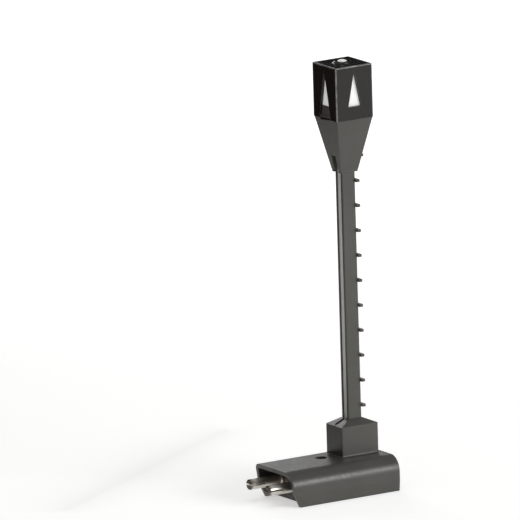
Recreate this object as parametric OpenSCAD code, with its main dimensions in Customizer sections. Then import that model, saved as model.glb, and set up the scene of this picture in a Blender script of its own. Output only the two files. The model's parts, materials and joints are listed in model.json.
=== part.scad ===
// Model railway light mast: a hollow plug-in base with a pedestal, a channel-section mast
// with rungs, and a lantern on a funnel under a lift-off cap with triangular windows.
// Frame: +Z is up, the Z axis is the mast's own axis and Z = 0 is the resting plane.
// The plug pins point along -X, and the rounded shoulder of the base faces -Y.

/* [Base] */
// Length of the base along its roof
base_l = 23.5; // [23:0.1:26]
// Width of the base at its foot
base_w = 12.4; // [12.2:0.1:13.5]
// Height of the base
base_h = 6.5; // [6.3:0.05:6.8]
// Wall thickness of the base and the pedestal
wall = 0.75; // [0.65:0.05:0.8]
// Radius of the rounded shoulder along the front
shoulder_r = 2.8; // [2.2:0.1:3]
// Radius of the long edge at the back
back_edge_r = 1.15; // [0.9:0.05:1.2]
// How far the front wall draws in at its foot
wall_lean = 0.2; // [0.05:0.05:0.3]
// Height over which the front wall draws in
lean_h = 2.2; // [1.5:0.1:3]
// Setback of the open end at its foot, behind the roof's edge
end_foot_back = 1.9; // [1.6:0.1:2.4]
// Setback of the open end at its knee
end_knee_back = 0.6; // [0.5:0.05:1]
// Height of the knee in the open end
end_knee_h = 2.65; // [2.2:0.05:2.9]
// Depth of the plug recess, from the roof's edge to the floor's sill
recess_l = 3.95; // [3.7:0.05:4.2]
// Thickness of the floor plate
floor_t = 0.8; // [0.6:0.05:0.8]
// Height of the sill at the floor's open end
sill_h = 1.5; // [1.2:0.05:1.5]

/* [Pedestal] */
// Pedestal size along the base
ped_x = 7.95; // [7.6:0.05:8.4]
// Pedestal size across the base
ped_y = 5.5; // [5.45:0.05:5.8]
// Height of the pedestal's upright faces
ped_h = 5.6; // [5.5:0.05:6.3]
// Rise of the hipped top, from its eaves to the mast
hip_h = 1.1; // [0.9:0.05:1.3]
// Gap between the pedestal and the closed end of the base
ped_end_gap = 0.93; // [0.8:0.01:1.2]
// Gap between the pedestal and the back of the base
ped_back_gap = 1.6; // [1.5:0.05:1.8]
// Fillet round the pedestal's foot
ped_fillet = 0.3; // [0.15:0.05:0.35]
// Radius of the pedestal's upright edges
ped_edge_r = 0.25; // [0.15:0.05:0.4]

/* [Mast] */
// Height of the mast in sight, from the hipped top to the funnel
mast_h = 46.4; // [32:0.1:60]
// Mast size along the base
mast_x = 2.8; // [2.7:0.05:3]
// Mast size across the base
mast_y = 2.35; // [2.3:0.05:2.6]
// Width of the mast's channel
groove_w = 1.27; // [1.2:0.01:1.35]
// Depth of the mast's channel
groove_d = 1.7; // [1.5:0.05:1.8]
// Distance from one rung to the next
rung_pitch = 4.7; // [4:0.01:6]
// Thickness of a rung
rung_t = 0.5; // [0.4:0.05:0.8]
// How far a rung stands out behind the mast
rung_reach = 0.6; // [0.5:0.05:1]
// How far a rung's end passes the mast's side
rung_end = 0.6; // [0.3:0.05:0.9]
// Gap between the highest rung of the mast and the funnel
rung_top_gap = 1.8; // [1.4:0.05:2.2]

/* [Lantern] */
// Height of the funnel
funnel_h = 10.3; // [9.5:0.1:11]
// Side of the funnel at its top
funnel_top = 7.7; // [7.5:0.05:7.8]
// Size of the funnel's lower lip along the base
funnel_lip_x = 3.7; // [3.6:0.05:4]
// Size of the funnel's lower lip across the base
funnel_lip_y = 3.1; // [3:0.05:3.4]
// Side of the lantern cap
cap_w = 8.0; // [7.9:0.05:8.2]
// Height of the lantern cap, without its roof boss
cap_h = 10.1; // [9.8:0.1:11]
// Wall thickness of the lantern cap
cap_wall = 0.45; // [0.45:0.05:0.65]
// Radius of the cap's upright and top edges
cap_edge_r = 0.25; // [0.15:0.05:0.4]
// Width of a triangular window at its sill
window_w = 2.8; // [2:0.1:3.2]
// Height of a triangular window
window_h = 6.6; // [5:0.1:6.7]
// Height of the window sill above the cap's rim
window_sill = 2.5; // [2.35:0.05:2.5]
// Height of the boss on the cap's roof
boss_h = 0.3; // [0.25:0.05:0.5]
// Radius of the boss at its foot
boss_r = 1.8; // [1.6:0.05:2]

/* [Plug pins] */
// Diameter of a plug pin
pin_d = 2.0; // [1.8:0.05:2.1]
// Distance between the two pins
pin_pitch = 6.4; // [6:0.05:6.5]
// Height of the pins above the resting plane
pin_z = 3.2; // [3.15:0.05:3.25]
// Offset of the pair's centre from the mast's axis, along Y
pin_y = -1.15; // [-1.25:0.01:-1.1]
// How far the pins pass the roof's edge
pin_reach = 3; // [2.1:0.1:3.5]
// Width of the slot in a pin's tip
pin_slot_w = 0.3; // [0.25:0.05:0.5]
// Length of the slot in a pin's tip
pin_slot_l = 3.2; // [2.4:0.1:4]

/* [Electrical parts] */
// Thickness of the circuit board
board_t = 0.8; // [0.6:0.05:0.8]
// Diameter of the lamp's lens
led_d = 3.0; // [2.8:0.05:3]
// Distance between the two lead holes of a wire-ended part
lead_pitch = 5.08; // [4.9:0.01:5.2]

/* [Hidden] */
$fn = 48;

// Clearances: between fixed pieces, and between the cap and what it slides over
fixed_gap = 0.03;
slide_gap = 0.05;
// Overlap that joins two shapes of one moulding, and overshoot of a cut
join = 0.1;
cut = 1;

// Base, in plan
x_end = ped_x / 2 + ped_end_gap;
x_plug = x_end - base_l;
x_floor = x_plug + recess_l;
y_back = ped_y / 2 + ped_back_gap;
y_foot = y_back - base_w;
y_front = y_foot - wall_lean;
roof_hole_r = 1.12;
roof_hole_gap = 2.97;
roof_hole_x = -ped_x / 2 - roof_hole_gap;
sill_t = 0.7;

// Pedestal and mast, in height
z_eaves = base_h + ped_h;
z_mast = z_eaves + hip_h;
z_funnel = z_mast + mast_h;
z_cap = z_funnel + funnel_h;
hip_ledge = 0.1;
ped_ceiling_t = 0.6;
ped_ceiling = z_eaves - ped_ceiling_t;
socket_l = 3.6;
z_socket = z_mast - socket_l;
socket_boss_x = 4.6;
mast_foot_gap = 0.05;
mast_tenon_l = 2.1;
mast_edge_r = 0.15;
hip_slit_l = 2.3;
hip_slit_w = 0.75;
hip_slit_d = 1;

// Rungs that fit on the mast above its foot
rung_foot_gap = 1.2;
rung_count = floor((mast_h - rung_top_gap - rung_foot_gap) / rung_pitch) + 1;
z_rung_top = z_funnel - rung_top_gap;
funnel_rungs = 2;

// Lantern
funnel_wall = 0.8;
funnel_lip_h = 0.3;
funnel_slit_h = 3.2;
collar_w = cap_w - 2 * cap_wall - 2 * slide_gap;
collar_wall = 0.75;
collar_edge_r = 0.2;
key_foot = 0.3;
key_lip_h = 0.1;
key_bevel_h = 0.35;
key_top_gap = 0.15;
key_face_back = 0.35;
key_lip_back = 0.05;
collar_h = window_sill - key_top_gap;
nail_notch_h = 0.35;
nail_notch_d = 0.6;
z_roof = z_cap + cap_h;
cap_roof_t = 0.8;
cap_inner_r = 0.15;
nub_r = 0.87;
nub_rise = 0.3;
nub_dome_h = 0.3;
boss_edge_r = 0.2;
diffuser_w = collar_w;
diffuser_bore_w = 3.8;
diffuser_top_t = 0.8;
diffuser_edge_r = 0.3;
diffuser_plug_h = 0.7;
diffuser_roof_gap = 0.1;
diffuser_foot_gap = 0.05;
z_diffuser = z_cap + collar_h + diffuser_foot_gap;

// Light guide: it fills the mast's channel, and starts as a disc over the lamp
guide_recess = 0.15;
guide_side_gap = 0.035;
guide_y = groove_w - 2 * guide_side_gap;
guide_x = groove_d - guide_recess - fixed_gap;
guide_front = -mast_x / 2 + guide_recess;
guide_tip_h = 1.5;
guide_disc_r = 1.35;
guide_disc_t = 0.5;
guide_top_gap = 0.05;
z_guide = z_socket - guide_disc_t - guide_top_gap;
z_guide_top = z_diffuser + guide_tip_h;

// Pins: a shaft with a rounded tip, two collars, a neck in the carrier and a tail
pin_r = pin_d / 2;
pin_tip_r = 0.3;
pin_collar_out = 0.35;
pin_collar_r = pin_r + pin_collar_out;
pin_collar_t = 0.4;
pin_groove_l = 0.35;
pin_neck_r = 0.78;
pin_tail_r = 0.5;
pin_tail_l = 2.6;
carrier_t = 1;
carrier_back = 0.85;
x_carrier = x_plug + recess_l + carrier_back;
x_collar = x_carrier - 2 * pin_collar_t - pin_groove_l;
y_pins = [pin_y - pin_pitch / 2, pin_y + pin_pitch / 2];
stop_x = 0.45;
stop_y = 0.5;

// Circuit board: it lies on two ribs of the floor, two pegs place it, and the pins' tails
// lie on the copper of its upper side
board_rib_t = 0.35;
board_rib_in = 0.1;
copper_t = 0.05;
z_board_top = pin_z - pin_tail_r - copper_t;
z_board = z_board_top - board_t;
board_rib_h = z_board - floor_t;
board_end_gap = 0.2;
board_front_gap = 0.3;
board_back_gap = 0.25;
x_board = x_carrier + carrier_t + board_end_gap;
x_board_end = x_end - wall - board_end_gap;
y_board = y_foot + wall + board_front_gap;
y_board_end = y_back - wall - board_back_gap;
track_w = 0.6;
track_jog = 1.2;
pad_r = 0.8;
peg_r = 0.5;
peg_rise = 0.4;
peg_in = [2, 1.3, 1.2];
pegs = [[x_board + peg_in[0], pin_y], [x_board_end - peg_in[1], y_board + peg_in[2]]];
board_edge_r = 0.3;

// Lamp: a round lens on two leads, under the light guide's disc
led_x = guide_front + guide_x / 2;
led_lead_gap = 2.2;
led_lead_t = 0.4;
led_flange_out = 0.4;
led_flange_r = led_d / 2 + led_flange_out;
led_flange_h = 1;
led_flat_out = 0.15;
led_top_gap = 0.12;
led_h = 4.8;
z_led_top = z_guide - led_top_gap;
z_led = z_led_top - led_h;
led_post_h = 1.6;
led_arm_l = 0.35;
led_arm_h = 0.4;
led_cup_r = 0.55;
led_cup_h = 0.6;
led_cup_rise = 0.6;
led_cup_rim_h = 0.3;
led_cup_shift = 0.2;
led_cup_x = led_x + led_cup_shift;
lead_end_gap = 0.2;
z_lead_end = floor_t + lead_end_gap;

// Wire-ended parts: the resistor lies in front and the diode behind
wire_r = 0.25;
bend_r = 0.5;
lead_hole_r = 0.4;
part_in = 3.6;
part_x = x_board + part_in + lead_pitch / 2;
resistor_y = pin_y - 4;
resistor_l = 3.4;
resistor_r = 0.75;
resistor_bulb_r = 0.9;
resistor_bulb_l = 0.8;
diode_y = pin_y + 2.2;
diode_l = 3;
diode_r = 0.75;
part_rise = 1;
part_z = z_board_top + part_rise;
solder_r = 0.7;
solder_tip_r = 0.32;
solder_h = 0.5;
tail_pad_in = 0.2;
tail_pad_y = 1.3;
tail_pad_l = 4;
tail_solder_in = 0.3;
tail_solder_foot = 0.6;
tail_solder_top = 0.4;

// Snap noses of the floor, in recesses of the shell's long walls
snap_l = 2;
snap_out = 0.12;
snap_h = 0.3;
snap_z = 0.3;
snap_gap = 0.1;
snap_x = [x_floor + 3, x_end - 6];

// Rectangle with rounded corners, centred
module rounded_rect(w, d, r) {
  square([w - 2 * r, d], center = true);
  square([w, d - 2 * r], center = true);
  for (sx = [-1, 1], sy = [-1, 1])
    translate([sx * (w / 2 - r), sy * (d / 2 - r)])
      circle(r);
}

// Upright column on a rounded rectangle
module column(w, d, r, h) {
  linear_extrude(h)
    rounded_rect(w, d, r);
}

// Upright block with sharp corners, centred in plan
module block(w, d, h) {
  translate([-w / 2, -d / 2, 0])
    cube([w, d, h]);
}

// Straight taper from one rectangle to another, as the meeting of two prisms
module taper(x0, y0, x1, y1, h) {
  intersection() {
    rotate([90, 0, 0])
      linear_extrude(max(y0, y1) + cut, center = true)
        polygon([[-x0 / 2, 0], [x0 / 2, 0], [x1 / 2, h], [-x1 / 2, h]]);
    rotate([90, 0, 90])
      linear_extrude(max(x0, x1) + cut, center = true)
        polygon([[-y0 / 2, 0], [y0 / 2, 0], [y1 / 2, h], [-y1 / 2, h]]);
  }
}

// Concave corner between an upright face and a flat
module fillet_section(r) {
  difference() {
    translate([-join, -join])
      square(r + join);
    translate([r, r])
      circle(r);
  }
}

// Fillet round the foot of a rounded column
module foot_fillet(w, d, corner_r, r) {
  for (s = [0, 1]) {
    mirror([s, 0, 0])
      translate([w / 2, 0, 0])
        rotate([90, 0, 0])
          linear_extrude(d - 2 * corner_r, center = true)
            fillet_section(r);
    mirror([0, s, 0])
      translate([0, d / 2, 0])
        rotate([90, 0, 90])
          linear_extrude(w - 2 * corner_r, center = true)
            fillet_section(r);
    for (t = [0, 1])
      mirror([s, 0, 0])
        mirror([0, t, 0])
          translate([w / 2 - corner_r, d / 2 - corner_r, 0])
            rotate_extrude(angle = 90)
              translate([corner_r, 0])
                fillet_section(r);
  }
}

// Waste of a rounded corner whose sharp corner is at the origin, up and to the left
module corner_waste(r) {
  difference() {
    translate([-cut, -r])
      square([r + cut, r + cut]);
    translate([r, -r])
      circle(r);
  }
}

// Cross-section of the base, inset from its outer skin and drawn down to z_low
module arch(inset, z_low) {
  difference() {
    polygon([
      [y_foot + inset, z_low],
      [y_front + inset, lean_h],
      [y_front + inset, base_h - inset],
      [y_back - inset, base_h - inset],
      [y_back - inset, z_low]
    ]);
    translate([y_front + inset, base_h - inset])
      corner_waste(shoulder_r - inset);
    translate([y_back - inset, base_h - inset])
      mirror([1, 0])
        corner_waste(back_edge_r - inset);
  }
}

// Length of the arch along the base
module arch_run(inset, z_low, x0, x1) {
  translate([x0, 0, 0])
    rotate([90, 0, 90])
      linear_extrude(x1 - x0)
        arch(inset, z_low);
}

// Outside of the base, with its cranked open end
module base_body() {
  intersection() {
    arch_run(0, 0, x_plug, x_end);
    rotate([90, 0, 0])
      linear_extrude(4 * base_w, center = true)
        polygon([
          [x_plug + end_foot_back, 0],
          [x_end, 0],
          [x_end, base_h],
          [x_plug, base_h],
          [x_plug + end_knee_back, end_knee_h]
        ]);
  }
}

// Outside of the pedestal, with its foot fillet and hipped top
module pedestal_body() {
  translate([0, 0, base_h - join])
    column(ped_x, ped_y, ped_edge_r, ped_h + join);
  translate([0, 0, base_h])
    foot_fillet(ped_x, ped_y, ped_edge_r, ped_fillet);
  intersection() {
    translate([0, 0, z_eaves])
      taper(ped_x, ped_y, mast_x + 2 * hip_ledge, mast_y + 2 * hip_ledge, hip_h);
    translate([0, 0, z_eaves])
      column(ped_x, ped_y, ped_edge_r, hip_h);
  }
}

// Room for the lamp inside the pedestal, round the boss that holds the mast
module pedestal_room() {
  difference() {
    translate([0, 0, base_h - wall - join])
      block(ped_x - 2 * wall, ped_y - 2 * wall, ped_ceiling - base_h + wall + join);
    translate([0, 0, z_socket])
      block(socket_boss_x, ped_y, socket_l);
  }
}

// Recesses or noses of the floor's snap fit, grown by gap
module snaps(gap, out) {
  for (x = snap_x) {
    translate([x - gap, y_back - wall - join, snap_z - gap])
      cube([snap_l + 2 * gap, join + out, snap_h + 2 * gap]);
    translate([x - gap, y_foot + wall - out, snap_z - gap])
      cube([snap_l + 2 * gap, join + out, snap_h + 2 * gap]);
  }
}

module base_shell() {
  color([0.33, 0.33, 0.31]) {
    difference() {
      union() {
        base_body();
        pedestal_body();
      }
      arch_run(wall, -cut, x_plug - cut, x_end - wall);
      pedestal_room();
      translate([0, 0, z_socket - cut])
        block(mast_x + 2 * fixed_gap, mast_y + 2 * fixed_gap, socket_l + 2 * cut);
      translate([-mast_x / 2 - hip_slit_l, -hip_slit_w / 2, z_mast - hip_slit_d])
        cube([hip_slit_l + join, hip_slit_w, hip_slit_d + cut]);
      translate([roof_hole_x, 0, base_h - wall - cut])
        cylinder(h = wall + 2 * cut, r = roof_hole_r);
      snaps(snap_gap, snap_out + snap_gap);
    }
    carrier_stops();
  }
}

// Ribs inside the long walls that stop the pin carrier
module carrier_stops() {
  x_stop = x_carrier + carrier_t + fixed_gap;
  z_stop = z_board_top + peg_rise;
  intersection() {
    arch_run(wall - join, 0, x_stop, x_stop + stop_x);
    translate([x_stop, 0, z_stop])
      for (y = [y_back - wall - stop_y, y_front + wall - join])
        translate([0, y, 0])
          cube([stop_x, stop_y + join, base_h]);
  }
}

module base_floor() {
  color([0.3, 0.3, 0.28]) {
    intersection() {
      arch_run(wall + fixed_gap, -cut, x_floor, x_end - wall - fixed_gap);
      translate([x_floor, y_front, 0])
        cube([base_l, base_w + cut, floor_t]);
    }
    intersection() {
      arch_run(wall + fixed_gap, 0, x_floor, x_floor + sill_t);
      translate([x_floor, y_front, 0])
        cube([base_l, base_w + cut, sill_h]);
    }
    for (y = [y_board + board_rib_in, y_board_end - board_rib_t - board_rib_in])
      translate([x_board, y, floor_t - join])
        cube([x_board_end - x_board, board_rib_t, board_rib_h + join]);
    for (p = pegs)
      translate([p[0], p[1], floor_t - join])
        cylinder(h = board_rib_h + board_t + peg_rise + join, r = peg_r);
    snaps(0, snap_out);
  }
}

// Cross-section of the mast: a channel that opens towards the plug end
module mast_section() {
  difference() {
    rounded_rect(mast_x, mast_y, mast_edge_r);
    translate([-mast_x / 2 - cut, -groove_w / 2])
      square([groove_d + cut, groove_w]);
  }
}

// One rung behind a face at x_face
module rung(x_face) {
  translate([x_face - join, -mast_y / 2 - rung_end, -rung_t / 2])
    cube([rung_reach + join, mast_y + 2 * rung_end, rung_t]);
}

module mast() {
  z0 = z_socket + mast_foot_gap;
  color([0.33, 0.33, 0.31]) {
    translate([0, 0, z0])
      linear_extrude(z_funnel + mast_tenon_l - z0)
        mast_section();
    for (i = [0 : rung_count - 1])
      translate([0, 0, z_rung_top - i * rung_pitch])
        rung(mast_x / 2);
  }
}

// Triangular window, from its apex to a depth of drop below its sill, narrowed by gap at each side
module window_outline(drop, gap) {
  half = window_w / 2 * (1 + drop / window_h);
  polygon([[-half + gap, -drop], [half - gap, -drop], [0, window_h - gap * window_h / half]]);
}

// Keys on the collar: each fills the foot of a side window, down to a bevelled lip
module collar_keys() {
  face = key_face_back - cap_w / 2;
  lip = key_lip_back - cap_w / 2;
  for (s = [0, 1])
    mirror([s, 0, 0])
      intersection() {
        rotate([90, 0, 0])
          linear_extrude(cap_w, center = true)
            polygon([
              [join - collar_w / 2, key_foot],
              [lip, key_foot],
              [lip, key_foot + key_lip_h],
              [face, key_foot + key_lip_h + key_bevel_h],
              [face, collar_h],
              [join - collar_w / 2, collar_h]
            ]);
        translate([-cap_w, 0, window_sill])
          rotate([90, 0, 90])
            linear_extrude(cap_w)
              window_outline(window_sill, slide_gap);
      }
}

// Notches under the keys, deeper at one end, where a nail lifts the cap
module nail_notches() {
  half = window_w / 2 * (1 + window_sill / window_h);
  for (s = [0, 1])
    mirror([s, 0, 0])
      translate([-funnel_top / 2 - cut, 0, z_cap])
        rotate([90, 0, 90])
          linear_extrude(nail_notch_d + cut)
            polygon([[-half, 0], [half, -nail_notch_h], [half, key_foot], [-half, key_foot]]);
}

module lantern_funnel() {
  slope = (funnel_top - funnel_lip_x) / 2 / (funnel_h - funnel_lip_h);
  room_h = funnel_h - mast_tenon_l - funnel_wall;
  color([0.33, 0.33, 0.31]) {
    difference() {
      union() {
        translate([0, 0, z_funnel])
          column(funnel_lip_x, funnel_lip_y, mast_edge_r, funnel_lip_h);
        translate([0, 0, z_funnel + funnel_lip_h])
          taper(funnel_lip_x, funnel_lip_y, funnel_top, funnel_top, funnel_h - funnel_lip_h);
        translate([0, 0, z_cap - join])
          column(collar_w, collar_w, collar_edge_r, collar_h + join);
        translate([0, 0, z_cap])
          collar_keys();
        for (i = [1 : funnel_rungs]) {
          z = z_rung_top + i * rung_pitch;
          translate([0, 0, z])
            rung(funnel_lip_x / 2 + slope * (z - z_funnel - funnel_lip_h));
        }
      }
      translate([0, 0, z_funnel - cut])
        block(mast_x + 2 * fixed_gap, mast_y + 2 * fixed_gap, mast_tenon_l + cut + fixed_gap);
      translate([0, 0, z_funnel + mast_tenon_l])
        taper(mast_x, mast_y, collar_w - 2 * collar_wall, collar_w - 2 * collar_wall, room_h);
      translate([0, 0, z_funnel + mast_tenon_l + room_h - join / 2])
        block(collar_w - 2 * collar_wall, collar_w - 2 * collar_wall, funnel_h);
      translate([-funnel_top / 2, -groove_w / 2, z_funnel - cut])
        cube([funnel_top / 2, groove_w, funnel_slit_h + cut]);
      nail_notches();
    }
  }
}

module light_guide() {
  z_strip = z_guide + guide_disc_t;
  color([0.86, 0.88, 0.86, 0.8]) {
    translate([guide_front, -guide_y / 2, z_guide])
      cube([guide_x, guide_y, z_guide_top - z_guide - guide_x]);
    translate([guide_front, 0, z_guide_top - guide_x])
      rotate([90, 0, 0])
        linear_extrude(guide_y, center = true)
          polygon([[0, -join], [guide_x, -join], [guide_x, 0], [0, guide_x]]);
    translate([led_x, 0, z_guide])
      cylinder(h = z_strip - z_guide, r = guide_disc_r);
  }
}

module diffuser() {
  z_top = z_roof - cap_roof_t - diffuser_roof_gap;
  z_nub = z_roof + boss_h + nub_rise;
  plug_w = collar_w - 2 * collar_wall - 2 * slide_gap;
  dome_r = (nub_r * nub_r + nub_dome_h * nub_dome_h) / (2 * nub_dome_h);
  color([0.96, 0.96, 0.93]) {
    difference() {
      union() {
        translate([0, 0, z_diffuser])
          column(diffuser_w, diffuser_w, diffuser_edge_r, z_top - z_diffuser);
        translate([0, 0, z_diffuser - diffuser_plug_h])
          column(plug_w, plug_w, collar_edge_r, diffuser_plug_h + join);
      }
      translate([0, 0, z_diffuser - diffuser_plug_h - cut])
        block(diffuser_bore_w, diffuser_bore_w, z_top - diffuser_top_t - z_diffuser
          + diffuser_plug_h + cut);
    }
    intersection() {
      translate([0, 0, z_top - join])
        cylinder(h = z_nub - z_top + join, r = nub_r);
      translate([0, 0, z_nub - dome_r])
        sphere(dome_r, $fn = 96);
    }
  }
}

// Upright block with rounded side and top edges: a column met by its two side views
module soft_box(w, h, r) {
  intersection() {
    column(w, w, r, h);
    rotate([90, 0, 0])
      linear_extrude(w + cut, center = true)
        top_rounded(w, h, r);
    rotate([90, 0, 90])
      linear_extrude(w + cut, center = true)
        top_rounded(w, h, r);
  }
}

// Rectangle with its two upper corners rounded
module top_rounded(w, h, r) {
  translate([-w / 2, 0])
    square([w, h - r]);
  translate([-w / 2 + r, 0])
    square([w - 2 * r, h]);
  for (s = [-1, 1])
    translate([s * (w / 2 - r), h - r])
      circle(r);
}

// Boss on the cap's roof, with a rounded edge
module roof_boss() {
  rotate_extrude() {
    polygon([
      [0, -join],
      [boss_r, -join],
      [boss_r, 0],
      [boss_r - boss_edge_r, boss_h - boss_edge_r],
      [boss_r - 2 * boss_edge_r, boss_h],
      [0, boss_h]
    ]);
    translate([boss_r - 2 * boss_edge_r, boss_h - boss_edge_r])
      circle(boss_edge_r);
  }
}

module lantern_cap() {
  inner_w = cap_w - 2 * cap_wall;
  color([0.06, 0.05, 0.05]) {
    difference() {
      union() {
        translate([0, 0, z_cap])
          soft_box(cap_w, cap_h, cap_edge_r);
        translate([0, 0, z_roof])
          roof_boss();
      }
      translate([0, 0, z_cap - cut])
        column(inner_w, inner_w, cap_inner_r, cap_h - cap_roof_t + cut);
      translate([0, 0, z_roof - cap_roof_t - cut])
        cylinder(h = cap_roof_t + boss_h + 2 * cut, r = nub_r + slide_gap);
      for (side = [0, 1])
        rotate([90, 0, 90 * side])
          translate([0, z_cap + window_sill, 0])
            linear_extrude(2 * cap_w, center = true)
              window_outline(side * (window_sill + cut), 0);
    }
  }
}

// Half outline of a pin along its axis, from its tip to its tail's end
module pin_outline() {
  l_collar = x_collar - x_plug + pin_reach;
  l_face = l_collar + 2 * pin_collar_t + pin_groove_l;
  l_neck = l_face + carrier_t;
  square([pin_tip_r + join, pin_r - pin_tip_r]);
  translate([pin_tip_r, 0])
    square([l_collar + join - pin_tip_r, pin_r]);
  translate([pin_tip_r, pin_r - pin_tip_r])
    intersection() {
      circle(pin_tip_r);
      translate([-pin_tip_r, -pin_r + pin_tip_r])
        square([2 * pin_tip_r, 2 * pin_r]);
    }
  for (l = [l_collar, l_face - pin_collar_t])
    translate([l, 0])
      square([pin_collar_t, pin_collar_r]);
  translate([l_collar, 0])
    square([l_neck - l_collar, pin_neck_r]);
  translate([l_neck - join, 0])
    square([pin_tail_l + join, pin_tail_r]);
}

// One plug pin on its axis at y, pointing along -X
module plug_pin(y) {
  color([0.8, 0.79, 0.76])
    translate([x_plug - pin_reach, y, pin_z])
      difference() {
        rotate([90, 0, 90])
          rotate_extrude()
            rotate([0, 0, 90])
              mirror([0, 1, 0])
                pin_outline();
        translate([-cut, -pin_d, -pin_slot_w / 2])
          cube([pin_slot_l + cut, 2 * pin_d, pin_slot_w]);
      }
}

module plug_pin_front() {
  plug_pin(y_pins[0]);
}

module plug_pin_rear() {
  plug_pin(y_pins[1]);
}

module pin_carrier() {
  color([0.36, 0.2, 0.11])
    translate([x_carrier, 0, 0])
      rotate([90, 0, 90])
        linear_extrude(carrier_t)
          difference() {
            arch(wall + fixed_gap, floor_t + fixed_gap);
            for (y = y_pins)
              translate([y, pin_z])
                circle(pin_neck_r + fixed_gap / 2);
          }
}

// Places of every lead that passes through the board
function lead_places() = [
  [led_x - led_lead_gap / 2, 0],
  [led_x + led_lead_gap / 2, 0],
  [part_x - lead_pitch / 2, resistor_y],
  [part_x + lead_pitch / 2, resistor_y],
  [part_x - lead_pitch / 2, diode_y],
  [part_x + lead_pitch / 2, diode_y]
];

module circuit_board() {
  w = x_board_end - x_board;
  d = y_board_end - y_board;
  color([0.42, 0.3, 0.14])
    difference() {
      translate([x_board + w / 2, y_board + d / 2, z_board])
        column(w, d, board_edge_r, board_t);
      for (p = lead_places())
        translate([p[0], p[1], z_board - cut])
          cylinder(h = board_t + 2 * cut, r = lead_hole_r);
      for (p = pegs)
        translate([p[0], p[1], z_board - cut])
          cylinder(h = board_t + 2 * cut, r = peg_r + slide_gap);
    }
}

// Straight track between two places, with rounded ends
module track(a, b) {
  d = b - a;
  translate(a)
    rotate(atan2(d[1], d[0])) {
      translate([0, -track_w / 2])
        square([norm(d), track_w]);
      circle(track_w / 2);
      translate([norm(d), 0])
        circle(track_w / 2);
    }
}

// Tracks of one net that run through the given places
module net(places) {
  for (i = [0 : len(places) - 2])
    track(places[i], places[i + 1]);
}

// Sheet of copper with its lead holes, at height z
module copper(z) {
  translate([0, 0, z])
    linear_extrude(copper_t)
      difference() {
        children();
        for (p = lead_places())
          translate(p)
            circle(lead_hole_r);
      }
}

module board_copper() {
  p = lead_places();
  color([0.75, 0.45, 0.25]) {
    copper(z_board_top)
      for (i = [0, 1]) {
        lead = p[2 + 2 * i];
        translate([x_board + tail_pad_in, y_pins[i] - tail_pad_y / 2])
          square([tail_pad_l, tail_pad_y]);
        translate(lead)
          circle(pad_r);
        track([lead[0], y_pins[i]], lead);
      }
    copper(z_board - copper_t) {
      translate(p[2])
        circle(pad_r);
    }
    copper(z_board - copper_t) {
      net([p[3], [p[3][0], 0], p[5]]);
      net([[p[3][0], 0], p[0]]);
      for (i = [0, 3, 5])
        translate(p[i])
          circle(pad_r);
    }
    copper(z_board - copper_t) {
      net([p[4], [p[4][0], diode_y + track_jog], [p[1][0], diode_y + track_jog], p[1]]);
      for (i = [1, 4])
        translate(p[i])
          circle(pad_r);
    }
  }
}

// Upright square lead from the board's underside to z_top
module led_lead(p, z_top) {
  translate([p[0], p[1], z_lead_end])
    block(led_lead_t, led_lead_t, z_top - z_lead_end);
}

module led_anode_body() {
  p = lead_places();
  z_post = z_led + led_flange_h + led_post_h;
  led_lead(p[0], z_post);
  translate([p[0][0] - led_lead_t / 2, -led_lead_t / 2, z_post - led_arm_h])
    cube([led_lead_t + led_arm_l, led_lead_t, led_arm_h]);
}

module led_cathode_body() {
  p = lead_places();
  z_cup = z_led + led_flange_h + led_cup_rise;
  led_lead(p[1], z_cup + led_cup_h);
  translate([led_cup_x, -led_lead_t / 2, z_cup])
    cube([p[1][0] - led_cup_x, led_lead_t, led_cup_h]);
  difference() {
    translate([led_cup_x, 0, z_cup])
      cylinder(h = led_cup_h + led_cup_rim_h, r = led_cup_r);
    translate([led_cup_x, 0, z_cup + led_cup_h])
      cylinder(h = cut, r1 = led_cup_r / 2, r2 = 3 * led_cup_r / 2);
  }
}

module led_anode() {
  color([0.78, 0.78, 0.76])
    led_anode_body();
}

module led_cathode() {
  color([0.78, 0.78, 0.76])
    led_cathode_body();
}

module led_lens() {
  r = led_d / 2;
  color([0.93, 0.93, 0.88, 0.7])
    difference() {
      translate([led_x, 0, 0]) {
        translate([0, 0, z_led])
          cylinder(h = led_flange_h, r = led_flange_r);
        translate([0, 0, z_led + led_flange_h / 2])
          cylinder(h = z_led_top - r - z_led - led_flange_h / 2, r = r);
        translate([0, 0, z_led_top - r])
          sphere(r);
      }
      led_anode_body();
      led_cathode_body();
      translate([led_x + r + led_flat_out, -led_d, z_led - cut])
        cube([cut, 2 * led_d, led_flange_h + cut]);
    }
}

// Bent wire lead, out of a part's end and down through the board
module wire_lead(y, body_l) {
  reach = lead_pitch / 2 - bend_r;
  translate([part_x, y, part_z])
    for (s = [0, 1])
      mirror([s, 0, 0]) {
        translate([body_l / 2, 0, 0])
          rotate([0, 90, 0])
            cylinder(h = reach - body_l / 2, r = wire_r);
        translate([reach, 0, -bend_r])
          rotate([90, 0, 0])
            rotate_extrude(angle = 90)
              translate([bend_r, 0])
                circle(wire_r);
        translate([lead_pitch / 2, 0, z_lead_end - part_z])
          cylinder(h = part_z - bend_r - z_lead_end, r = wire_r);
      }
}

module series_resistor() {
  color([0.82, 0.72, 0.52])
    translate([part_x, resistor_y, part_z])
      rotate([0, 90, 0]) {
        cylinder(h = resistor_l - resistor_bulb_l, r = resistor_r, center = true);
        for (s = [-1, 1])
          translate([0, 0, s * (resistor_l - resistor_bulb_l) / 2])
            cylinder(h = resistor_bulb_l, r = resistor_bulb_r, center = true);
      }
}

module resistor_leads() {
  color([0.78, 0.78, 0.76])
    wire_lead(resistor_y, resistor_l);
}

module protection_diode() {
  color([0.75, 0.35, 0.15])
    translate([part_x, diode_y, part_z])
      rotate([0, 90, 0])
        cylinder(h = diode_l, r = diode_r, center = true);
}

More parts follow.
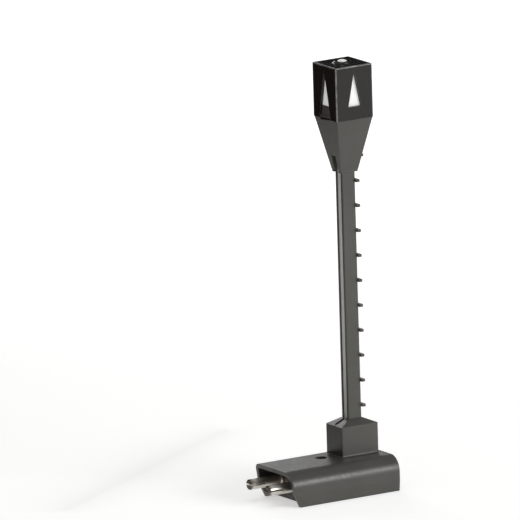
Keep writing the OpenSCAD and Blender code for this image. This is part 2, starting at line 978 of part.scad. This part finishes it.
module diode_leads() {
  color([0.78, 0.78, 0.76])
    wire_lead(diode_y, diode_l);
}

module solder_joints() {
  p = lead_places();
  z_pad = z_board - copper_t;
  l_tail = pin_tail_l - (x_board + tail_pad_in - x_carrier - carrier_t);
  color([0.7, 0.71, 0.73]) {
    for (i = [0 : len(p) - 1])
      difference() {
        translate([p[i][0], p[i][1], z_pad - solder_h])
          cylinder(h = solder_h, r1 = solder_tip_r, r2 = solder_r);
        if (i < 2)
          led_lead(p[i], z_board_top);
        else
          translate([p[i][0], p[i][1], z_lead_end])
            cylinder(h = z_board_top, r = wire_r);
      }
    for (y = y_pins)
      difference() {
        translate([x_board + tail_solder_in, y, z_board_top + copper_t])
          rotate([90, 0, 90])
            linear_extrude(l_tail)
              polygon([
                [-tail_solder_foot, 0],
                [tail_solder_foot, 0],
                [tail_solder_top, pin_tail_r],
                [-tail_solder_top, pin_tail_r]
              ]);
        translate([x_board - cut, y, pin_z])
          rotate([0, 90, 0])
            cylinder(h = pin_tail_l + 2 * cut, r = pin_tail_r);
      }
  }
}

base_shell();
base_floor();
mast();
lantern_funnel();
light_guide();
diffuser();
lantern_cap();
plug_pin_front();
plug_pin_rear();
pin_carrier();
circuit_board();
board_copper();
led_lens();
led_anode();
led_cathode();
series_resistor();
resistor_leads();
protection_diode();
diode_leads();
solder_joints();
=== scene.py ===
"""Looks of the model railway light mast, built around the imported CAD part.

Lengths in this script are millimetres unless a name says otherwise. mm() turns them into the
frame's metres and in_mm() turns them back. Colours are linear.
"""
import json
import math

import bpy
from mathutils import Matrix, Vector


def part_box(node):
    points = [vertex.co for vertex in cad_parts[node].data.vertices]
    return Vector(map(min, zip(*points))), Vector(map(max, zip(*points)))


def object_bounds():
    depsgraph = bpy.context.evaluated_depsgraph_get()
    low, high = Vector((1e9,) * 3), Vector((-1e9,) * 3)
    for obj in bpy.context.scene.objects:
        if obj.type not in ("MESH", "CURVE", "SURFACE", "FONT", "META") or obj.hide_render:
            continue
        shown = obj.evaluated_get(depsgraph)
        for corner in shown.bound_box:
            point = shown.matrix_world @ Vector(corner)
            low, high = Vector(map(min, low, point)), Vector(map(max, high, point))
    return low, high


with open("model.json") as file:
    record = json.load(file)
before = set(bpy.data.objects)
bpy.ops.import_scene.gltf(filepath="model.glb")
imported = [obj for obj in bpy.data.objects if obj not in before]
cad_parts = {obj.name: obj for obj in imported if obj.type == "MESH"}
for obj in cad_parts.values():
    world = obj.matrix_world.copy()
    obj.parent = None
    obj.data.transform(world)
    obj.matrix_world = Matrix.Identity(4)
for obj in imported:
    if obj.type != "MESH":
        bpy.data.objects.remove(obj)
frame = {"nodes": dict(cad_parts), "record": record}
cad_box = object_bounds()

RECORD = frame["record"]
NODES = frame["nodes"]
MM_PER_M = 1000.0
METRES_PER_MICRON = 1e-6


def mm(value):
    """Millimetres as the frame's metres."""
    return value / MM_PER_M


def in_mm(value):
    """The frame's metres as millimetres."""
    return value * MM_PER_M


def scaled(colour, factor, lift=0.0):
    """Colour made lighter or darker by a factor, and then lifted evenly."""
    return tuple(min(1.0, c * factor + lift) for c in colour)


# The cap's roof lies this far below the tip of the diffuser's pip
PIP_STAND = 0.6
CAP_ROOF_Z = in_mm(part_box("diffuser")[1].z) - PIP_STAND

# The plug pins' tips are painted dark brown as painted shade, from full to nothing between these distances
# from the tip
TIP_SHADE_FULL, TIP_SHADE_GONE = 0.05, 0.6
PIN_TIP_X = in_mm(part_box("plug_pin_front")[0].x)

# --------------------------------------------------------------------------- materials

class Finish:
    """One procedural material. Its texture space is the frame in millimetres."""

    BEVEL_SAMPLES = 6
    # Cosine of the turn that the rounding gives a normal, where an edge starts and is full
    EDGE_START, EDGE_FULL = 0.995, 0.86

    def __init__(self, name):
        self.material = bpy.data.materials.new(name)
        self.material.use_nodes = True
        self.tree = self.material.node_tree
        self.tree.nodes.clear()
        self.surface = self.add("ShaderNodeBsdfPrincipled")
        output = self.add("ShaderNodeOutputMaterial")
        self.link(self.surface.outputs["BSDF"], output.inputs["Surface"])
        place = self.add("ShaderNodeTexCoord")
        self.place = self.vector("SCALE", place.outputs["Object"], scale=MM_PER_M)
        self.normal = None

    def add(self, kind, **settings):
        node = self.tree.nodes.new(kind)
        for key, value in settings.items():
            setattr(node, key, value)
        return node

    def link(self, source, target):
        self.tree.links.new(source, target)

    def feed(self, socket, value):
        """Sets a socket to a number or a colour, or links another socket into it."""
        if isinstance(value, bpy.types.NodeSocket):
            self.link(value, socket)
        elif isinstance(value, (tuple, list)) and len(socket.default_value) == 4:
            socket.default_value = (*value[:3], 1.0)
        else:
            socket.default_value = value

    def put(self, **values):
        """Feeds the surface's sockets. An underscore in a name stands for a space."""
        for key, value in values.items():
            self.feed(self.surface.inputs[key.replace("_", " ")], value)

    def vector(self, operation, a, b=None, scale=None):
        node = self.add("ShaderNodeVectorMath", operation=operation)
        self.feed(node.inputs[0], a)
        if b is not None:
            self.feed(node.inputs[1], b)
        if scale is not None:
            node.inputs["Scale"].default_value = scale
        return node.outputs["Value" if operation == "DOT_PRODUCT" else "Vector"]

    def math(self, operation, a, b=None):
        node = self.add("ShaderNodeMath", operation=operation)
        self.feed(node.inputs[0], a)
        if b is not None:
            self.feed(node.inputs[1], b)
        return node.outputs["Value"]

    def axis(self, letter):
        """One coordinate of the frame."""
        node = self.add("ShaderNodeSeparateXYZ")
        self.link(self.place, node.inputs[0])
        return node.outputs[letter]

    def noise(self, size, detail=2.0, seed=0.0, stretch=None, distortion=0.0):
        """Noise from 0 to 1 with features about size millimetres across."""
        place = self.place
        if stretch is not None:
            place = self.vector("MULTIPLY", place, tuple(1.0 / s for s in stretch))
        node = self.add("ShaderNodeTexNoise", noise_dimensions="4D")
        self.link(place, node.inputs["Vector"])
        node.inputs["W"].default_value = seed
        node.inputs["Scale"].default_value = 1.0 / size
        node.inputs["Detail"].default_value = detail
        node.inputs["Distortion"].default_value = distortion
        return node.outputs["Fac"]

    def spread(self, value, low, high, out_low=0.0, out_high=1.0):
        """Value's span from low to high, turned into out_low to out_high and held there."""
        node = self.add("ShaderNodeMapRange", clamp=True)
        self.feed(node.inputs["Value"], value)
        node.inputs["From Min"].default_value = low
        node.inputs["From Max"].default_value = high
        node.inputs["To Min"].default_value = out_low
        node.inputs["To Max"].default_value = out_high
        return node.outputs["Result"]

    def blend(self, share, a, b):
        """Colour a where share is 0 and colour b where it is 1."""
        node = self.add("ShaderNodeMix", data_type="RGBA")
        self.feed(node.inputs["Factor"], share)
        inputs = [socket for socket in node.inputs if socket.type == "RGBA"]
        self.feed(inputs[0], a)
        self.feed(inputs[1], b)
        return next(socket for socket in node.outputs if socket.type == "RGBA")

    def tint(self, mask, strength, base, colour):
        """Base with a colour laid over it, by a mask and its strength."""
        return self.blend(self.math("MULTIPLY", mask, strength), base, colour)

    def specks(self, size, seed, strength=1.0):
        """Small round specks, as a mask."""
        return self.spread(self.noise(size, detail=0.0, seed=seed), 0.78, 0.84, 0.0, strength)

    def soften_edges(self, radius):
        """Rounds the shading across edges, and returns a mask that is 1 on them."""
        node = self.add("ShaderNodeBevel", samples=self.BEVEL_SAMPLES)
        node.inputs["Radius"].default_value = mm(radius)
        self.normal = node.outputs["Normal"]
        flat = self.add("ShaderNodeNewGeometry")
        match = self.vector("DOT_PRODUCT", self.normal, flat.outputs["Normal"])
        return self.spread(match, self.EDGE_START, self.EDGE_FULL)

    def relief(self, height, depth):
        """Adds relief. Height runs from 0 to 1, and depth is in micrometres."""
        node = self.add("ShaderNodeBump")
        node.inputs["Strength"].default_value = 1.0
        node.inputs["Distance"].default_value = depth * METRES_PER_MICRON
        self.feed(node.inputs["Height"], height)
        if self.normal is not None:
            self.link(self.normal, node.inputs["Normal"])
        self.normal = node.outputs["Normal"]

    def scuffs(self, seed, amount, stretch=(6.0, 0.25, 0.25)):
        """Sparse hairline scratches, as a mask."""
        lines = self.noise(0.16, detail=1.0, seed=seed, stretch=stretch, distortion=0.3)
        patches = self.noise(2.6, detail=1.0, seed=seed + 7.0)
        line = self.spread(lines, 0.66, 0.72)
        patch = self.spread(patches, 0.62 - amount, 0.78 - amount)
        return self.math("MULTIPLY", line, patch)

    def done(self):
        if self.normal is not None:
            self.put(Normal=self.normal)
        return self.material


def moulded(name, tone, seed, rough):
    """Satin moulded plastic: faint flow marks, spark-eroded grain, few scratches, and edges painted paler,
    partly as wear and partly as a painted highlight.
    """
    f = Finish(name)
    worn = f.soften_edges(0.09)
    flow = f.noise(7.0, detail=3.0, seed=seed, stretch=(1.0, 1.0, 2.2))
    mottle = f.noise(0.8, seed=seed + 1.0)
    scratch = f.scuffs(seed + 2.0, 0.06)
    wear_and_highlight = scaled(tone, 1.9, lift=0.012)
    pale = scaled(tone, 1.16)
    colour = f.blend(f.spread(flow, 0.3, 0.7), scaled(tone, 0.86), pale)
    colour = f.blend(f.spread(mottle, 0.45, 0.8, 0.0, 0.16), colour, pale)
    breaks = f.spread(f.noise(0.9, detail=3.0, seed=seed + 3.0), 0.38, 0.72, 0.15, 1.0)
    worn = f.math("MULTIPLY", worn, breaks)
    # Edges painted paler: partly wear, partly a painted highlight along the rounded edges
    colour = f.tint(worn, 0.35, colour, wear_and_highlight)
    colour = f.tint(scratch, 0.35, colour, wear_and_highlight)
    shine = f.spread(mottle, 0.3, 0.75, rough - 0.05, rough + 0.07)
    shine = f.math("SUBTRACT", shine, f.math("MULTIPLY", worn, 0.08))
    f.relief(flow, 14.0)
    f.relief(f.noise(0.14, seed=seed + 4.0), 5.0)
    f.relief(f.math("SUBTRACT", 1.0, scratch), 2.5)
    f.put(Base_Color=colour, Roughness=shine, IOR=1.52)
    return f.done()


# The mask of a rounded edge rises between these distances from the sharp corner it replaces
EDGE_OUTER, EDGE_INNER = 0.27, 0.17
# Height above a roof where its own faces end and what stands on it starts
ROOF_SLACK = 0.01


def box_edges(f, node, top):
    """Mask of the rounded edges of a square node: its uprights, and its edges at height top.

    Each sum below comes to twice the reach at a sharp edge, and to less anywhere else.
    """
    low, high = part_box(node)
    reach = in_mm((high.y - low.y) / 2)
    x, y = (f.math("ABSOLUTE", f.axis(letter)) for letter in "XY")
    uprights = f.math("ADD", x, y)
    rise = f.math("SUBTRACT", f.axis("Z"), top - reach)
    rims = f.math("ADD", f.math("MAXIMUM", x, y), rise)
    under_roof = f.math("LESS_THAN", rise, reach + ROOF_SLACK)
    nearest = f.math("MAXIMUM", uprights, f.math("MULTIPLY", rims, under_roof))
    return f.spread(nearest, 2 * reach - EDGE_OUTER, 2 * reach - EDGE_INNER)


def gloss_black(name):
    """Polished black plastic, with faint orange peel, dust and wiping marks. Its rounded edges are painted
    pale as a painted highlight, broken up like wear.
    """
    black, dusty, wear_and_highlight = (0.0048, 0.0036, 0.003), (0.11, 0.105, 0.10), (0.30, 0.295, 0.285)
    f = Finish(name)
    # Mask of the cap's rounded edges, where the painted highlight goes
    worn = f.math("MAXIMUM", f.soften_edges(0.07), box_edges(f, "lantern_cap", CAP_ROOF_Z))
    haze = f.noise(1.6, detail=3.0, seed=21.0)
    dust = f.spread(f.noise(0.11, detail=0.0, seed=22.0), 0.76, 0.82)
    scratch = f.scuffs(23.0, 0.05, stretch=(0.25, 0.25, 5.0))
    breaks = f.spread(f.noise(1.3, seed=25.0), 0.35, 0.65, 0.35, 1.0)
    colour = f.tint(dust, 0.15, black, dusty)
    # Painted highlight: the rounded edges are painted pale where they would catch light, broken up by
    # noise
    colour = f.tint(f.math("MULTIPLY", worn, breaks), 0.75, colour, wear_and_highlight)
    shine = f.spread(haze, 0.3, 0.75, 0.1, 0.17)
    shine = f.math("ADD", shine, f.math("MULTIPLY", scratch, 0.22))
    shine = f.math("ADD", shine, f.math("MULTIPLY", dust, 0.4))
    f.relief(f.noise(1.1, detail=1.0, seed=24.0), 5.0)
    f.relief(f.math("SUBTRACT", 1.0, scratch), 1.0)
    f.put(Base_Color=colour, Roughness=shine, IOR=1.46)
    return f.done()


def milky_white(name):
    """White diffusing plastic that lets light into it. Its faint glow is painted light, standing in for
    daylight scattered in through the windows.
    """
    f = Finish(name)
    f.soften_edges(0.1)
    cloud = f.noise(2.2, seed=31.0)
    colour = f.blend(cloud, (0.66, 0.665, 0.65), (0.72, 0.72, 0.705))
    colour = f.blend(f.specks(0.16, 32.0, 0.3), colour, (0.55, 0.53, 0.48))
    f.relief(f.noise(0.2, seed=33.0), 3.0)
    # The emission below is a painted glow that brightens the windows
    f.put(Base_Color=colour, Roughness=f.spread(cloud, 0.3, 0.7, 0.32, 0.45), IOR=1.49,
          Subsurface_Weight=0.35, Subsurface_Scale=mm(0.6), Subsurface_Radius=(1.0, 0.95, 0.85),
          Emission_Color=(0.9, 0.9, 0.885), Emission_Strength=0.25)
    return f.done()


def frosted_guide(name):
    """Frosted translucent strip, with drawn streaks along it."""
    f = Finish(name)
    f.soften_edges(0.06)
    streak = f.noise(0.22, seed=41.0, stretch=(1.0, 1.0, 26.0))
    cloud = f.noise(3.0, seed=42.0)
    colour = f.blend(cloud, (0.54, 0.545, 0.515), (0.65, 0.65, 0.62))
    colour = f.blend(f.spread(streak, 0.5, 0.75, 0.0, 0.35), colour, (0.66, 0.66, 0.63))
    f.relief(streak, 6.0)
    f.put(Base_Color=colour, Roughness=f.spread(streak, 0.3, 0.7, 0.3, 0.46), IOR=1.49,
          Transmission_Weight=0.12, Subsurface_Weight=0.25, Subsurface_Scale=mm(0.5),
          Subsurface_Radius=(1.0, 1.0, 0.9))
    return f.done()


TURNED_GRAIN = (0.05, 4.0, 4.0)
DRAWN_GRAIN = (4.0, 0.1, 0.1)


def bright_metal(name, tone, tarnish, seed, rough, grain=DRAWN_GRAIN, tip_shade=None):
    """Plated metal with turning rings or drawing lines along X, and a little tarnish.

    Near the tip it is painted dark brown as painted shade, from full to nothing between the two places
    along X that its last argument gives.
    """
    f = Finish(name)
    worn = f.soften_edges(0.05)
    lines = f.noise(0.6, seed=seed, stretch=grain)
    film = f.noise(1.1, detail=4.0, seed=seed + 1.0)
    colour = f.blend(f.spread(film, 0.52, 0.78, 0.0, 0.45), tone, tarnish)
    colour = f.tint(worn, 0.4, colour, scaled(tone, 1.2))
    # Painted shade: the tip is painted dark brown
    if tip_shade is not None:
        ragged = f.math("ADD", f.axis("X"), f.spread(film, 0.3, 0.7, -0.2, 0.2))
        tip_shade_share = f.spread(ragged, tip_shade[0], tip_shade[1], 0.96, 0.0)
        colour = f.blend(tip_shade_share, colour, (0.06, 0.045, 0.035))
    f.relief(lines, 1.4)
    f.relief(f.noise(0.25, seed=seed + 2.0), 0.8)
    f.put(Base_Color=colour, Metallic=1.0, Roughness=f.spread(film, 0.35, 0.75, rough, rough + 0.16))
    return f.done()


def laminate(name, light, dark, seed, lacquer):
    """Resin laminate: paper fibres in two directions under a resin skin."""
    f = Finish(name)
    worn = f.soften_edges(0.04)
    warp = f.noise(0.22, detail=3.0, seed=seed, stretch=(9.0, 1.0, 1.0))
    weft = f.noise(0.22, detail=3.0, seed=seed + 1.0, stretch=(1.0, 7.0, 1.0))
    cloud = f.noise(2.4, seed=seed + 2.0)
    fibre = f.math("MULTIPLY", f.math("ADD", warp, weft), 0.5)
    colour = f.blend(f.spread(fibre, 0.38, 0.62), dark, light)
    colour = f.blend(f.spread(cloud, 0.35, 0.7, 0.0, 0.35), colour, dark)
    colour = f.tint(worn, 0.5, colour, scaled(light, 1.5))
    f.relief(fibre, 5.0)
    f.put(Base_Color=colour, Roughness=f.spread(fibre, 0.35, 0.65, 0.4, 0.58), IOR=1.55,
          Coat_Weight=lacquer, Coat_Roughness=0.22)
    return f.done()


def banded(name, node, body, bands, seed, rough, coat, glassy=0.0):
    """Coat of a wire-ended part, with bands across it.

    A band is (start, end, colour), and its places are shares of the node's length.
    """
    soft = 0.004
    f = Finish(name)
    low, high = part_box(node)
    along = f.spread(f.axis("X"), in_mm(low.x), in_mm(high.x))
    wobble = f.noise(0.5, detail=1.0, seed=seed)
    along = f.math("ADD", along, f.spread(wobble, 0.3, 0.7, -0.006, 0.006))
    cloud = f.noise(0.7, detail=3.0, seed=seed + 1.0)
    colour = f.blend(cloud, scaled(body, 0.9), scaled(body, 1.08))
    raised = 0.0
    for start, end, paint in bands:
        band = f.math("MULTIPLY", f.spread(along, start - soft, start + soft),
                      f.spread(along, end + soft, end - soft))
        colour = f.blend(band, colour, paint)
        raised = f.math("MAXIMUM", raised, band)
    f.relief(raised, 12.0)
    f.relief(f.noise(0.3, seed=seed + 2.0), 6.0)
    f.put(Base_Color=colour, Roughness=f.spread(cloud, 0.3, 0.7, rough, rough + 0.12), IOR=1.5,
          Coat_Weight=coat, Coat_Roughness=0.1, Transmission_Weight=glassy)
    return f.done()


def clear_epoxy(name):
    """Diffused epoxy of a lamp's lens, with a few small bubbles."""
    f = Finish(name)
    f.soften_edges(0.05)
    cloud = f.noise(0.9, seed=91.0)
    colour = f.blend(cloud, (0.80, 0.81, 0.74), (0.88, 0.88, 0.82))
    colour = f.blend(f.specks(0.12, 92.0, 0.4), colour, (0.95, 0.95, 0.92))
    f.relief(f.noise(0.6, detail=1.0, seed=93.0), 2.0)
    f.put(Base_Color=colour, Roughness=f.spread(cloud, 0.3, 0.7, 0.12, 0.22), IOR=1.54,
          Transmission_Weight=0.45, Subsurface_Weight=0.2, Subsurface_Scale=mm(0.5))
    return f.done()


RESISTOR_BANDS = (
    (0.13, 0.20, (0.16, 0.05, 0.02)),
    (0.33, 0.40, (0.012, 0.011, 0.010)),
    (0.49, 0.56, (0.42, 0.025, 0.015)),
    (0.76, 0.83, (0.52, 0.34, 0.10)),
)
DIODE_BANDS = ((0.78, 0.90, (0.015, 0.014, 0.013)),)


def base_plastic():
    return moulded("olive_moulding", (0.0485, 0.0465, 0.0402), 1.0, rough=0.37)


def floor_plastic():
    return moulded("floor_moulding", (0.056, 0.056, 0.051), 11.0, rough=0.52)


def nickel():
    # The pins' tips get painted shade
    return bright_metal("nickel_plate", (0.68, 0.65, 0.595), (0.32, 0.29, 0.24), 51.0, 0.3,
                        grain=TURNED_GRAIN,
                        tip_shade=(PIN_TIP_X + TIP_SHADE_FULL, PIN_TIP_X + TIP_SHADE_GONE))


def copper():
    return bright_metal("copper_foil", (0.75, 0.36, 0.2), (0.30, 0.13, 0.07), 75.0, 0.28)


def tinned_wire():
    return bright_metal("tinned_wire", (0.68, 0.68, 0.67), (0.36, 0.35, 0.33), 81.0, 0.26)


def solder():
    return bright_metal("solder", (0.60, 0.61, 0.63), (0.34, 0.34, 0.35), 121.0, 0.22)


def phenolic():
    return laminate("phenolic", (0.16, 0.077, 0.038), (0.075, 0.034, 0.018), 61.0, lacquer=0.1)


def board():
    return laminate("board", (0.30, 0.18, 0.065), (0.2, 0.11, 0.038), 71.0, lacquer=0.5)


def resistor_coat():
    return banded("resistor_coat", "series_resistor", (0.56, 0.42, 0.22), RESISTOR_BANDS,
                  101.0, rough=0.34, coat=0.3)


def diode_glass():
    return banded("diode_glass", "protection_diode", (0.50, 0.13, 0.03), DIODE_BANDS,
                  111.0, rough=0.12, coat=0.6, glassy=0.3)


# The record's material slots, and the finish of each
FINISHES = {
    "base_plastic": base_plastic(),
    "floor_plastic": floor_plastic(),
    "cap_plastic": gloss_black("gloss_black"),
    "window_white": milky_white("milky_white"),
    "guide_plastic": frosted_guide("frosted_guide"),
    "nickel": nickel(),
    "phenolic": phenolic(),
    "board": board(),
    "copper": copper(),
    "lens": clear_epoxy("lens_epoxy"),
    "tinned_wire": tinned_wire(),
    "resistor_coat": resistor_coat(),
    "diode_glass": diode_glass(),
    "solder": solder(),
}

for part in RECORD["subparts"]:
    for slot in NODES[part["node"]].material_slots:
        slot.material = FINISHES[part["material_slot"]]

# --------------------------------------------------------------------------- stage

FLOOR_SIZE = 8000.0
FLOOR_GAP = 0.02
FLOOR_TONE = (0.78, 0.78, 0.775)
FLOOR_GLOW = 0.62


def floor_finish():
    """Matt paper that glows a little, so that the ground stays pale."""
    f = Finish("floor_paper")
    cloud = f.noise(60.0, seed=201.0)
    colour = f.blend(cloud, FLOOR_TONE, scaled(FLOOR_TONE, 1.02))
    f.put(Base_Color=colour, Roughness=0.9, Specular_IOR_Level=0.0,
          Emission_Color=FLOOR_TONE, Emission_Strength=FLOOR_GLOW)
    return f.done()


def quad(name, corners, material):
    """Staged flat sheet on four corners, in metres."""
    mesh = bpy.data.meshes.new(name)
    mesh.from_pydata([tuple(c) for c in corners], [], [range(len(corners))])
    mesh.materials.append(material)
    made = bpy.data.objects.new(name, mesh)
    bpy.context.scene.collection.objects.link(made)
    return made


floor_reach = mm(FLOOR_SIZE) / 2
floor_z = cad_box[0].z - mm(FLOOR_GAP)
floor_corners = [(x * floor_reach, y * floor_reach, floor_z)
                 for x, y in ((-1, -1), (1, -1), (1, 1), (-1, 1))]
quad("floor", floor_corners, floor_finish())

# --------------------------------------------------------------------------- light

CENTRE = (cad_box[0] + cad_box[1]) / 2
UP = Vector((0.0, 0.0, 1.0))


def towards(azimuth, elevation):
    a, e = math.radians(azimuth), math.radians(elevation)
    return Vector((math.sin(a) * math.cos(e), -math.cos(a) * math.cos(e), math.sin(e)))


def softbox(name, azimuth, elevation, distance, width, height, watts):
    """Rectangular light that faces the object. The camera doesn't see it."""
    light = bpy.data.lights.new(name, "AREA")
    light.shape = "RECTANGLE"
    light.size, light.size_y = mm(width), mm(height)
    light.energy = watts
    made = bpy.data.objects.new(name, light)
    back = towards(azimuth, elevation)
    made.location = CENTRE + back * mm(distance)
    made.rotation_mode = "QUATERNION"
    made.rotation_quaternion = (-back).to_track_quat("-Z", "Y")
    bpy.context.scene.collection.objects.link(made)
    made.visible_camera = False


def card(name, azimuth, distance, width, height, tone):
    """Upright studio card that faces the object. It's hidden from the camera and stops no lamp's light."""
    f = Finish(name)
    cloud = f.noise(40.0, detail=1.0, seed=211.0)
    f.put(Base_Color=f.blend(cloud, tone, scaled(tone, 0.92)), Roughness=0.8)
    middle = towards(azimuth, 0.0) * mm(distance)
    side = UP.cross(middle).normalized() * mm(width) / 2
    low, high = UP * floor_z, UP * (floor_z + mm(height))
    corners = (middle - side + low, middle + side + low, middle + side + high, middle - side + high)
    made = quad(name, corners, f.done())
    made.visible_camera = False
    made.visible_shadow = False


# Each light's name, azimuth, elevation, distance, width, height and watts
softbox("key", 26.0, 16.0, 1500.0, 900.0, 560.0, 14.2)
softbox("rim", 166.0, 21.0, 600.0, 320.0, 130.0, 0.66)
softbox("side", -62.0, 4.0, 260.0, 110.0, 90.0, 0.026)
softbox("top", -60.0, 84.0, 800.0, 600.0, 600.0, 0.9)

# What the glossy faces reflect: each card's name, azimuth, distance, width, height and tone
card("dark_card", -150.0, 150.0, 200.0, 150.0, (0.035, 0.025, 0.02))
card("low_card", -148.0, 42.0, 70.0, 12.0, (0.08, 0.072, 0.05))
card("pale_card", 148.0, 260.0, 400.0, 85.0, (0.76, 0.76, 0.75))

# The sky is dark at the horizon and bright overhead. The heights are sines of the elevation
SKY_LOW, SKY_HIGH = 0.02, 0.45
SKY_LOW_HEIGHT, SKY_HIGH_HEIGHT = 0.2, 0.95
SKY_TONE = (0.99, 0.99, 1.0, 1.0)

world = bpy.data.worlds.new("studio")
world.use_nodes = True
sky = world.node_tree
ray = sky.nodes.new("ShaderNodeTexCoord")
parts = sky.nodes.new("ShaderNodeSeparateXYZ")
sky.links.new(ray.outputs["Generated"], parts.inputs[0])
climb = sky.nodes.new("ShaderNodeMapRange")
climb.interpolation_type = "SMOOTHSTEP"
climb.inputs["From Min"].default_value = SKY_LOW_HEIGHT
climb.inputs["From Max"].default_value = SKY_HIGH_HEIGHT
climb.inputs["To Min"].default_value = SKY_LOW
climb.inputs["To Max"].default_value = SKY_HIGH
sky.links.new(parts.outputs["Z"], climb.inputs["Value"])
sky.links.new(climb.outputs["Result"], sky.nodes["Background"].inputs["Strength"])
sky.nodes["Background"].inputs["Color"].default_value = SKY_TONE
bpy.context.scene.world = world
bpy.context.scene.view_settings.view_transform = "Standard"

# --------------------------------------------------------------------------- camera

VIEW_AZIMUTH, VIEW_ELEVATION, VIEW_ROLL = -32.2, 12.56, -1.63
VIEW_DISTANCE = 4000.0
VIEW_LENS, SENSOR = 1506.4, 36.0
CLIP_NEAR_M, CLIP_FAR_M = 0.01, 20.0
AIM = Vector((-4.0, 0.0, 38.0))
# The aim stands this far right of the middle of the picture, and this far above it
AIM_RIGHT, AIM_UP = 12.84, -5.26

back = towards(VIEW_AZIMUTH, VIEW_ELEVATION)
level = UP.cross(back).normalized()
upright = back.cross(level)
roll = math.radians(VIEW_ROLL)
right = level * math.cos(roll) + upright * math.sin(roll)
up = upright * math.cos(roll) - level * math.sin(roll)
camera_data = bpy.data.cameras.new("camera")
camera_data.lens, camera_data.sensor_width = VIEW_LENS, SENSOR
camera_data.clip_start, camera_data.clip_end = CLIP_NEAR_M, CLIP_FAR_M
camera = bpy.data.objects.new("camera", camera_data)
bpy.context.scene.collection.objects.link(camera)
place = (AIM - right * AIM_RIGHT - up * AIM_UP + back * VIEW_DISTANCE) / MM_PER_M
camera.matrix_world = Matrix.Translation(place) @ Matrix((right, up, back)).transposed().to_4x4()
bpy.context.scene.camera = camera
